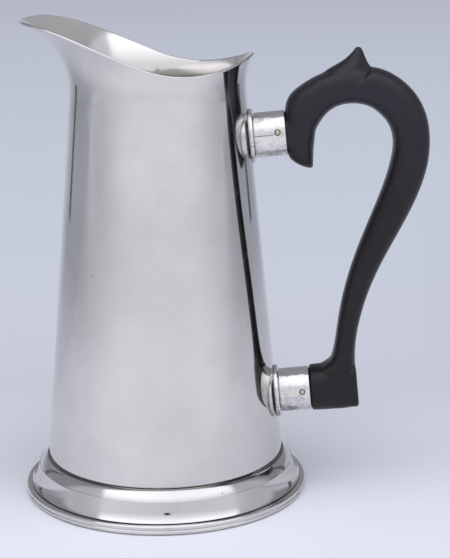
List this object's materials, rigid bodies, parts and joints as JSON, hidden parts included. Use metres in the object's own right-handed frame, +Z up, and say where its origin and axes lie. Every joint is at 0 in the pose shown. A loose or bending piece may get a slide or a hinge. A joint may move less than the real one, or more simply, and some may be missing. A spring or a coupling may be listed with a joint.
{
  "type": "pewter pitcher",
  "caption": "Tapered pewter pitcher with a flared pouring lip, a moulded reeded foot and a carved black wood handle held in pinned sockets.",
  "frame": {"origin": "centre of the foot's underside, on the body's axis", "axes": "+Z up along the body's axis, +X towards the handle, the spout towards -X, Y across"},
  "size_m": [0.1846, 0.13, 0.2153],
  "materials": {
    "pewter": "polished, with fine wear",
    "black_wood": "satin",
    "brass": "polished"
  },
  "bodies": {
    "root": {"body_shell": "pewter", "body_floor": "pewter", "foot_ring": "pewter", "foot_wire": "pewter", "upper_saddle": "pewter", "upper_bead": "pewter", "upper_sleeve": "pewter", "upper_pin": "brass", "lower_saddle": "pewter", "lower_bead": "pewter", "lower_sleeve": "pewter", "lower_pin": "brass", "handle": "black_wood"}
  },
  "joints": []
}
